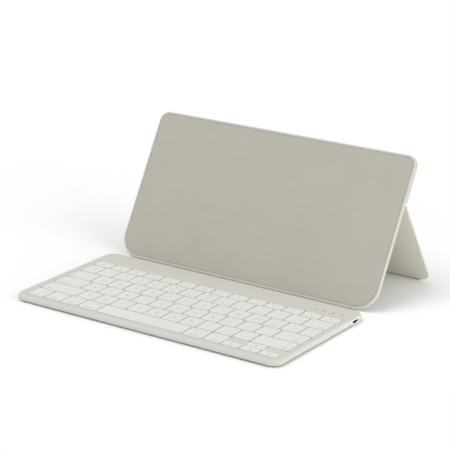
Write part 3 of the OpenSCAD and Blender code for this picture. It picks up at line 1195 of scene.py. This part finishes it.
SMALL_SUN = Key((), (Stroke(Form.RING, 0, 0, 0.5, 0.22), *rays(6, 1.0)))
LARGE_SUN = Key((), (Stroke(Form.RING, 0, 0, 0.6, 0.22), *rays(8, 1.25)))
WINDOWS = Key((), (Stroke(Form.BAR, -0.7, 0, 0.9, 1.5), Stroke(Form.BAR, 0.7, 0.45, 1.1, 0.6),
                   Stroke(Form.BAR, 0.7, -0.45, 1.1, 0.6)))
LENS_MARK = Key((), (Stroke(Form.RING, -0.2, 0.2, 0.75, 0.25), Stroke(Form.BAR, 0.6, -0.6, 1.0, 0.3, -45)))
MICROPHONE = Key((), (Stroke(Form.BAR, 0, 0.3, 0.6, 1.3), Stroke(Form.BAR, 0, -0.8, 1.2, 0.25)), dark=True)
BACK = Key((), (Stroke(Form.TRIANGLE, -0.6, 0, 0.7, 0, 180), Stroke(Form.TRIANGLE, 0.5, 0, 0.7, 0, 180)))
PLAY = Key((), (Stroke(Form.TRIANGLE, -0.6, 0, 0.75), Stroke(Form.BAR, 0.55, 0, 0.28, 1.25),
                Stroke(Form.BAR, 1.05, 0, 0.28, 1.25)))
FORWARD = Key((), (Stroke(Form.TRIANGLE, -0.5, 0, 0.7), Stroke(Form.TRIANGLE, 0.6, 0, 0.7)))
MUTE = Key((), SPEAKER)
QUIETER = Key((), (*SPEAKER, Stroke(Form.BAR, 0.7, 0, 0.25, 0.9)))
LOUDER = Key((), (*SPEAKER, Stroke(Form.BAR, 0.7, 0, 0.25, 0.9), Stroke(Form.BAR, 1.2, 0, 0.25, 1.5)))
CAMERA_MARK = Key((), (Stroke(Form.BAR, 0, 0, 2.2, 1.3),))
MOON = Key((), (Stroke(Form.RING, 0, 0, 0.9, 0.3),), dark=True)


@dataclass
class KeySet:
    """The 78 key caps and their legends."""

    corner_r: float = 1.8
    top_r: float = 0.35
    wall: float = 0.8
    crown: float = 0.8
    dish_border: float = 1.1
    dish_share: float = 0.3
    dish: float = 0.1
    ink: float = 0.02
    least_gap: float = 1.45
    most_gap: float = 1.7

    def legends(self) -> dict[str, list[Key]]:
        """What is printed on each node's keys, left to right."""
        numbers = zip("!@#$%^&*()_+", "1234567890-=")
        return {
            "escape_key": [Key((Mark("esc", size=2.6),), dark=True)],
            "function_keys": [SMALL_SUN, LARGE_SUN, WINDOWS, LENS_MARK, MICROPHONE, CAMERA_MARK,
                              BACK, PLAY, FORWARD, MUTE, QUIETER, LOUDER],
            "lock_key": [MOON],
            "number_keys": [pair("~", "`"), *[pair(a, b) for a, b in numbers]],
            "backspace_key": [word("delete", Side.RIGHT, 2.4)],
            "tab_key": [word("tab", Side.LEFT)],
            "upper_letter_keys": [*[letter(c) for c in "QWERTYUIOP"], pair("{", "["),
                                  pair("}", "]"), pair("|", "\\")],
            "caps_lock_key": [word("caps lock", Side.LEFT)],
            "home_letter_keys": [*[letter(c) for c in "ASDFGHJKL"], pair(":", ";"), pair('"', "'")],
            "return_key": [word("return", Side.RIGHT)],
            "left_shift_key": [word("shift", Side.LEFT)],
            "lower_letter_keys": [*[letter(c) for c in "ZXCVBNM"], pair("<", ","), pair(">", "."),
                                  pair("?", "/")],
            "right_shift_key": [word("shift", Side.RIGHT)],
            "fn_key": [bottom_key("fn", GLOBE, False)],
            "control_key": [bottom_key("control", CHEVRON, False)],
            "left_option_key": [bottom_key("option", STEP, False)],
            "left_command_key": [bottom_key("command", LOOP, False)],
            "space_bar": [Key()],
            "right_command_key": [bottom_key("command", LOOP, True)],
            "right_option_key": [bottom_key("option", STEP, True)],
            "left_arrow_key": [arrow(180)],
            "up_arrow_key": [arrow(90)],
            "down_arrow_key": [arrow(-90)],
            "right_arrow_key": [arrow(0)],
        }

    def build(self) -> None:
        """Builds the caps and the legends of every node."""
        self.masters: dict[tuple[float, float], Piece] = {}
        for node, keys in self.legends().items():
            boxes = self.cap_boxes(node, len(keys))
            body = node + "_body"
            caps = [self.cap(low, high) for low, high in boxes]
            piece = smooth(join(node + "_caps", caps), 40)
            place_on(piece, body, "key_caps", CAPS, node)
            for dark, ink in ((False, PALE_INK), (True, DARK_INK)):
                marks = [
                    mark for (low, high), key in zip(boxes, keys) if key.dark is dark
                    for mark in self.printed(key, low, high)
                ]
                if marks:
                    place_on(join(f"{node}_legend", marks), body, None, ink)
        for master in self.masters.values():
            bpy.data.objects.remove(master, do_unlink=True)

    def cap_boxes(self, node: str, count: int) -> list[tuple[Vector, Vector]]:
        """Finds the box of each cap in a node from the node's own vertices.

        Args:
            node: Name of the node.
            count: How many caps it holds.

        Returns:
            The lowest and highest corner of each cap, left to right.
        """
        low, high = node_box(node)
        if count == 1:
            return [(low, high)]
        xs = sorted({round(v.co.x / MM, 2) for v in frame["nodes"][node].data.vertices})
        gaps = [(a, b) for a, b in zip(xs, xs[1:]) if self.least_gap < b - a < self.most_gap]
        starts = [low.x, *[b for _, b in gaps]]
        ends = [*[a for a, _ in gaps], high.x]
        return [
            (Vector((a, low.y, low.z)), Vector((b, high.y, high.z)))
            for a, b in zip(starts, ends)
        ]

    def cap(self, low: Vector, high: Vector) -> Piece:
        """One key cap: a rounded, slightly dished top over a hollow skirt.

        Args:
            low: Lowest corner of its box.
            high: Highest corner.

        Returns:
            The cap.
        """
        size = high - low
        key = (round(size.x, 1), round(size.y, 1))
        if key not in self.masters:
            self.masters[key] = self.master(size)
        middle = (low + high) / 2
        return copy_to(self.masters[key], (middle.x, middle.y, low.z))

    def master(self, size: Vector) -> Piece:
        """The first cap of one size, with its skirt at the origin.

        Args:
            size: Size of its box.

        Returns:
            The cap that others of its size are copied from.
        """
        x, y, z = size.x / 2, size.y / 2, size.z
        piece = rounded_block("cap", (-x, -y, 0), (x, y, z), self.corner_r, self.corner_r, 6)
        round_edges(piece, rim(z), self.top_r, 4)
        border = min(self.dish_border, y * self.dish_share)
        sink_face(piece, faces_up(z), border, self.dish, sloping=True)
        sink_face(piece, lambda m, n: n.z < -ALONG, self.wall, z - self.crown)
        return piece

    def printed(self, key: Key, low: Vector, high: Vector) -> list[Piece]:
        """The marks and strokes of one key as thin meshes.

        Args:
            key: What is printed.
            low: Lowest corner of the cap's box.
            high: Highest corner.

        Returns:
            One mesh for each mark and stroke.
        """
        half = (high - low) / 2
        middle = (low + high) / 2
        top = high.z - self.dish
        made = [
            self.lettering(m, middle.x + m.x * half.x, middle.y + m.y * half.y, top)
            for m in key.marks
        ]
        return made + [self.symbol(s, middle.x + s.x, middle.y + s.y, top) for s in key.strokes]

    def lettering(self, mark: Mark, x: float, y: float, z: float) -> Piece:
        """One word as a thin mesh on the cap.

        Args:
            mark: The word.
            x: Where it stands along X, in millimetres.
            y: Where it stands along Y.
            z: Height of the cap under it.

        Returns:
            The mesh.
        """
        deselect()
        bpy.ops.object.text_add(location=(0, 0, 0))
        text = bpy.context.object
        text.data.body = mark.text
        text.data.size = mark.size * MM
        text.data.align_x = mark.side.value
        text.data.align_y = "CENTER"
        text.data.resolution_u = 3
        text.data.extrude = self.ink * MM
        bpy.ops.object.convert(target="MESH")
        text.location = (x * MM, y * MM, z * MM)
        settle(text)
        return text

    def symbol(self, stroke: Stroke, x: float, y: float, z: float) -> Piece:
        """One stroke of a symbol as a thin mesh on the cap.

        Args:
            stroke: The stroke.
            x: Where its middle is along X, in millimetres.
            y: Where its middle is along Y.
            z: Height of the cap under it.

        Returns:
            The mesh.
        """
        if stroke.form is Form.BAR:
            half, thick = stroke.size / 2, stroke.width / 2
            piece = block("stroke", (-half, -thick, -self.ink), (half, thick, self.ink))
        elif stroke.form is Form.RING:
            deselect()
            bpy.ops.mesh.primitive_torus_add(
                major_radius=stroke.size * MM, minor_radius=stroke.width / 2 * MM,
                major_segments=20, minor_segments=6,
            )
            piece = bpy.context.object
            piece.scale.z = 2 * self.ink / stroke.width
            settle(piece)
        else:
            deselect()
            bpy.ops.mesh.primitive_cylinder_add(
                vertices=3, radius=stroke.size * MM, depth=2 * self.ink * MM,
                rotation=(0, 0, -math.pi / 2),
            )
            piece = bpy.context.object
            settle(piece)
        piece.rotation_euler.z = math.radians(stroke.turn)
        piece.location = (x * MM, y * MM, z * MM)
        settle(piece)
        return piece


# ---------------------------------------------------------------- stand


@dataclass
class StandFrame:
    """Where the plate and the kickstand are, from the joints and the mounts."""

    bead_t: float = 1.8
    foot_t: float = 0.75

    def measure(self) -> None:
        """Reads the pivot, the hinge and the foot."""
        joints = {j["name"]: j for j in frame["record"]["behaviour"]["joints"]}
        mounts = {m["name"]: m for m in frame["record"]["mounts"]}
        _, y, z = mounts["tablet_seat"]["axis"]
        self.lean = math.atan2(-y, z)
        self.bead = Vector(joints["screen_tilt"]["pos_m"]) / MM
        self.hinge = Vector(joints["kickstand_hinge"]["pos_m"]) / MM
        low, high = node_box("kickstand_foot")
        self.foot = (low + high) / 2
        reach = (self.hinge - self.bead).length
        self.hinge_s = math.sqrt(reach**2 - self.bead_t**2)
        self.foot_reach = math.sqrt(reach**2 - self.foot_t**2)
        down = self.foot - self.hinge
        closed = math.pi + math.atan(self.foot_t / self.foot_reach)
        self.leg_turn = math.atan2(down.z, down.y) - closed + 2 * math.pi

    def plate(self) -> Matrix:
        """The plate's drawing frame: x across, y up the slope, z out of the front."""
        move = Matrix.Translation(self.bead * MM)
        turn = Matrix.Rotation(self.lean, 4, "X")
        return move @ turn @ Matrix.Translation((0, 0, -self.bead_t * MM))

    def leg(self) -> Matrix:
        """The kickstand's drawing frame, the same as the plate's when folded away."""
        move = Matrix.Translation(self.hinge * MM)
        turn = Matrix.Rotation(self.leg_turn, 4, "X")
        return move @ turn @ Matrix.Translation((0, -self.hinge_s * MM, 0))


@dataclass
class StandPart:
    """What the plate and the leg share: their place, width, edge and hinges."""

    place: StandFrame
    width: float = 286.0
    edge_s: float = 0.5
    channel: float = 2.6
    corner_r: float = 10.0
    hinge_end_r: float = 0.6
    outer_back: float = 1.5
    outer_roll: float = 0.5
    hinge_x: float = 88.0

    def at_hinges(self, half: float, low: tuple[float, float], high: tuple[float, float]
                  ) -> list[Piece]:
        """Makes a cutter at each hinge.

        Args:
            half: Half the width of a cutter.
            low: Its lowest y and z in the drawing frame.
            high: Its highest y and z.

        Returns:
            The two cutters.
        """
        middles = (-self.hinge_x, self.hinge_x)
        return [block("hinge_slot", (x - half, *low), (x + half, *high)) for x in middles]

    def rubber(self, name: str, radius: float, length: float, middle: Vector) -> Piece:
        """Adds a rubber rod along X with rounded ends.

        Args:
            name: Name of the piece.
            radius: Radius of the rod.
            length: Length of the rod.
            middle: Where its middle is on the case.

        Returns:
            The new piece.
        """
        piece = rod(name, radius, length)
        round_edges(piece, lambda m, w: abs(abs(m.x) - length / 2) < NEAR, 0.5, 4)
        return smooth(seat(piece, Matrix.Translation(middle * MM)), 40)


def sheet_area(wide: float, tall: float, *radii: float) -> float:
    """Area in square metres of a sheet with two corners of each radius, from millimetres."""
    lost = (2 - math.pi / 2) * sum(r * r for r in radii)
    return (wide * tall - lost) * MM * MM


@dataclass
class BackPlate(StandPart):
    """The plate behind the tablet: edge tray, lining, upper cover and pivot bead."""

    height: float = 147.0
    gap: float = 0.3
    thick: float = 3.0
    floor: float = 1.0
    border: float = 1.6
    border_roll: float = 0.45
    bottom_r: float = 21.0
    knuckle_half_w: float = 18.5
    knuckle_half_d: float = 1.6
    knuckle_depth: float = 1.45
    lining: float = 0.5
    lining_play: float = 0.1
    lining_roll: float = 0.2
    line_place: float = 5.0
    line_slope: float = 0.5
    line_floor: float = 0.35
    line_depth: float = 0.16
    leaf_half_w: float = 18.2
    leaf_len: float = 14.6
    leaf_t: float = 0.55
    leaf_play: float = 0.1
    bead_r: float = 1.0
    bead_fit: float = 0.06
    bead_len: float = 236.0
    bead_play: float = 0.2

    def build(self) -> None:
        """Builds every piece of the plate."""
        self.front = self.gap + self.thick
        self.tray()
        self.lining_panel()
        self.upper_cover()
        self.bead()

    def outline(self, name: str, inset: float, bottom: float, top: float) -> Piece:
        """Adds a slab with the plate's outline.

        Args:
            name: Name of the piece.
            inset: How far its edge stands inside the plate's edge.
            bottom: Its lowest z in the drawing frame.
            top: Its highest z.

        Returns:
            The new piece.
        """
        half = self.width / 2 - inset
        return rounded_block(
            name, (-half, self.edge_s + inset, bottom), (half, self.height - inset, top),
            self.bottom_r - inset, self.corner_r - inset, 20,
        )

    def tray(self) -> None:
        """The edge tray: a light border round the lining, and the flat back."""
        piece = self.outline("plate_tray", 0.0, self.gap, self.front)
        round_edges(piece, rim(self.front), self.border_roll, 4)
        round_edges(piece, rim(self.gap), self.outer_roll, 4)
        border = self.border - self.border_roll
        sink_face(piece, faces_up(self.front), border, self.thick - self.floor)
        groove = rod("groove", self.bead_r + self.bead_fit, self.bead_len + 2 * self.bead_play)
        groove.location.z = self.place.bead_t * MM
        settle(groove)
        middle, half = self.place.hinge_s, self.knuckle_half_d
        cut(piece, [groove, *self.at_hinges(
            self.knuckle_half_w, (middle - half, -self.knuckle_depth),
            (middle + half, self.knuckle_depth),
        )])
        smooth(seat(piece, self.place.plate()), 30)
        place_on(piece, "back_plate", "plate_edge", EDGE, "plate_shell")

    def lining_panel(self) -> None:
        """The microfibre lining, with a pressed line near its edge."""
        inset = self.border + self.lining_play
        piece = self.outline("plate_lining", inset, self.front - self.lining, self.front)
        round_edges(piece, rim(self.front), self.lining_roll, 3)
        for level, border, depth in (
            (0.0, self.line_place, 0.0), (0.0, self.line_slope, self.line_depth),
            (self.line_depth, self.line_floor, 0.0),
            (self.line_depth, self.line_slope, -self.line_depth),
        ):
            sink_face(piece, faces_up(self.front - level), border, depth, sloping=True)
        smooth(seat(piece, self.place.plate()), 30)
        place_on(piece, "back_plate", "lining_fabric", LINING, "front_lining")
        wide, tall = self.width - 2 * inset, self.height - self.edge_s - 2 * inset
        sheet_area(wide, tall, self.bottom_r - inset, self.corner_r - inset)

    def upper_cover(self) -> None:
        """The fixed cover above the kickstand hinge."""
        half, hinge_s = self.width / 2, self.place.hinge_s
        piece = rounded_block(
            "upper_cover_skin", (-half, hinge_s + self.channel, -self.outer_back),
            (half, self.height, self.gap), self.hinge_end_r, self.corner_r, 14,
        )
        round_edges(piece, rim(-self.outer_back), self.outer_roll, 4)
        cut(piece, self.at_hinges(
            self.leaf_half_w, (hinge_s, self.gap - self.leaf_t),
            (hinge_s + self.leaf_len, self.gap + self.leaf_play),
        ))
        smooth(seat(piece, self.place.plate()), 30)
        place_on(piece, "back_plate", "cover_skin", COVER, "upper_cover")

    def bead(self) -> None:
        """The rubber bead on which the plate stands."""
        piece = self.rubber("stand_bead", self.bead_r, self.bead_len, self.place.bead)
        place_on(piece, "pivot", "bead_rubber", BEAD, "pivot_bead")


@dataclass
class Kickstand(StandPart):
    """The fold-out leg: outer skin, inner skin and foot strip."""

    wall: float = 0.4
    inner_roll: float = 0.3
    foot_r: float = 1.0
    foot_len: float = 264.0
    foot_play: float = 0.1
    leaf_half_w: float = 5.85
    leaf_t: float = 0.5

    def build(self) -> None:
        """Builds every piece of the leg."""
        self.top = self.place.hinge_s - self.channel
        self.outer()
        self.inner()
        self.foot()

    def outline(self, name: str, bottom: float, top: float) -> Piece:
        """Adds a slab with the leg's outline.

        Args:
            name: Name of the piece.
            bottom: Its lowest z in the drawing frame.
            top: Its highest z.

        Returns:
            The new piece.
        """
        half = self.width / 2
        return rounded_block(
            name, (-half, self.edge_s, bottom), (half, self.top, top), self.corner_r,
            self.hinge_end_r, 16,
        )

    def foot_groove(self) -> Piece:
        """Makes a cutter for the foot strip.

        Returns:
            The cutter.
        """
        groove = rod("groove", self.foot_r, self.foot_len + 2 * self.foot_play)
        groove.location = (
            0, (self.place.hinge_s - self.place.foot_reach) * MM, -self.place.foot_t * MM
        )
        settle(groove)
        return groove

    def outer(self) -> None:
        """The outer skin, which wraps the edges of the core."""
        piece = self.outline("leg_outer_skin", -self.outer_back, -self.wall)
        round_edges(piece, rim(-self.outer_back), self.outer_roll, 4)
        sink_face(piece, faces_up(-self.wall), self.wall, self.outer_back - 2 * self.wall)
        inside = self.wall - self.outer_back
        cut(piece, [self.foot_groove(), *self.at_hinges(
            self.leaf_half_w, (self.top - REACH, inside - NEAR),
            (self.top + REACH, inside + self.leaf_t),
        )])
        smooth(seat(piece, self.place.leg()), 30)
        place_on(piece, "kickstand", "cover_skin", COVER, "kickstand_outer_skin")

    def inner(self) -> None:
        """The smooth lining on the side that folds against the plate."""
        piece = self.outline("leg_inner_skin", -self.wall, 0.0)
        round_edges(piece, rim(0.0), self.inner_roll, 3)
        cut(piece, [self.foot_groove()])
        smooth(seat(piece, self.place.leg()), 30)
        place_on(piece, "kickstand", "inner_skin", INNER, "kickstand_inner_skin")
        tall = self.top - self.edge_s
        tall * MM
        sheet_area(self.width, tall, self.corner_r, self.hinge_end_r)

    def foot(self) -> None:
        """The rubber strip along the bottom edge of the leg."""
        piece = self.rubber("leg_foot_strip", self.foot_r, self.foot_len, self.place.foot)
        place_on(piece, "kickstand", "bead_rubber", BEAD, "kickstand_foot")


# ---------------------------------------------------------------- studio


def facing(azimuth: float, elevation: float) -> Point:
    """The turn of a lamp or camera at an azimuth and elevation in degrees, looking inwards."""
    return math.radians(90 - elevation), 0, math.radians(azimuth)


@dataclass(frozen=True)
class SoftSun:
    """One distant light with a large disc, so that its shadows are soft."""

    name: str
    azimuth: float
    elevation: float
    spread: float
    strength: float

    def add(self) -> None:
        """Adds the light."""
        deselect()
        turn = facing(self.azimuth, self.elevation)
        bpy.ops.object.light_add(type="SUN", location=(0, 0, 2), rotation=turn)
        lamp = bpy.context.object
        lamp.name = self.name
        lamp.data.angle = math.radians(self.spread)
        lamp.data.energy = self.strength


@dataclass(frozen=True)
class SoftPanel:
    """One square panel of light, which the camera doesn't see."""

    name: str
    place: Point
    aim: Point
    size: float
    strength: float

    def add(self) -> None:
        """Adds the light, turned to its aim."""
        deselect()
        turn = (Vector(self.place) - Vector(self.aim)).to_track_quat("Z", "Y").to_euler()
        bpy.ops.object.light_add(type="AREA", location=self.place, rotation=turn)
        lamp = bpy.context.object
        lamp.name = self.name
        lamp.data.size = self.size
        lamp.data.energy = self.strength
        lamp.visible_camera = False


LIGHTS = (
    SoftSun("overhead", azimuth=-40.0, elevation=62.0, spread=40.0, strength=0.8),
    SoftSun("right_fill", azimuth=84.0, elevation=20.0, spread=40.0, strength=0.85),
    SoftPanel("stand_fill", (0.33, -0.01, 0.035), (0.12, 0.1, 0.05), size=0.12, strength=0.11),
)


@dataclass
class Studio:
    """The floor, the lights and the camera."""

    azimuth: float = 35.10
    elevation: float = 18.16
    camera_place: Point = (0.9144, -1.3018, 0.5855)
    lens: float = 147.5
    sensor: float = 36.0
    nearest: float = 0.05
    world: float = 0.72
    floor_size: float = 30.0

    def build(self) -> None:
        """Builds the studio."""
        self.floor()
        self.lights()
        self.camera()

    def floor(self) -> None:
        """A plain pale floor."""
        deselect()
        bpy.ops.mesh.primitive_plane_add(size=self.floor_size, location=(0, 0, 0))
        floor = bpy.context.object
        floor.name = "studio_floor"
        paint = Paint("studio_floor")
        cloud = paint.noise(900.0, 2.0)
        paint.feed("Base Color", paint.blend(cloud, (0.96, 0.96, 0.96), (0.98, 0.98, 0.98)))
        paint.feed("Roughness", 0.9)
        paint.feed("Specular IOR Level", 0.1)
        floor.data.materials.append(paint.material)

    def lights(self) -> None:
        """A white room, two soft suns and a small panel that fills the stand's shade."""
        world = bpy.data.worlds.new("studio")
        bpy.context.scene.world = world
        world.use_nodes = True
        background = next(n for n in world.node_tree.nodes if n.type == "BACKGROUND")
        background.inputs["Color"].default_value = (1.0, 1.0, 1.0, 1.0)
        background.inputs["Strength"].default_value = self.world
        for lamp in LIGHTS:
            lamp.add()

    def camera(self) -> None:
        """The camera at the viewing angle of a desk user standing to the right."""
        deselect()
        turn = facing(self.azimuth, self.elevation)
        bpy.ops.object.camera_add(location=self.camera_place, rotation=turn)
        camera = bpy.context.object
        camera.data.lens = self.lens
        camera.data.sensor_width = self.sensor
        camera.data.clip_start = self.nearest
        bpy.context.scene.camera = camera
        bpy.context.scene.view_settings.view_transform = "Standard"


def main() -> None:
    """Builds the sub-assemblies in order."""
    logging.basicConfig(level=logging.INFO, format="%(message)s")
    stand = StandFrame()
    stand.measure()
    WARDROBE.dress_nodes()
    KeyboardBody().build()
    KeySet().build()
    BackPlate(stand).build()
    Kickstand(stand).build()
    Studio().build()


if __name__ == "__main__":
    main()
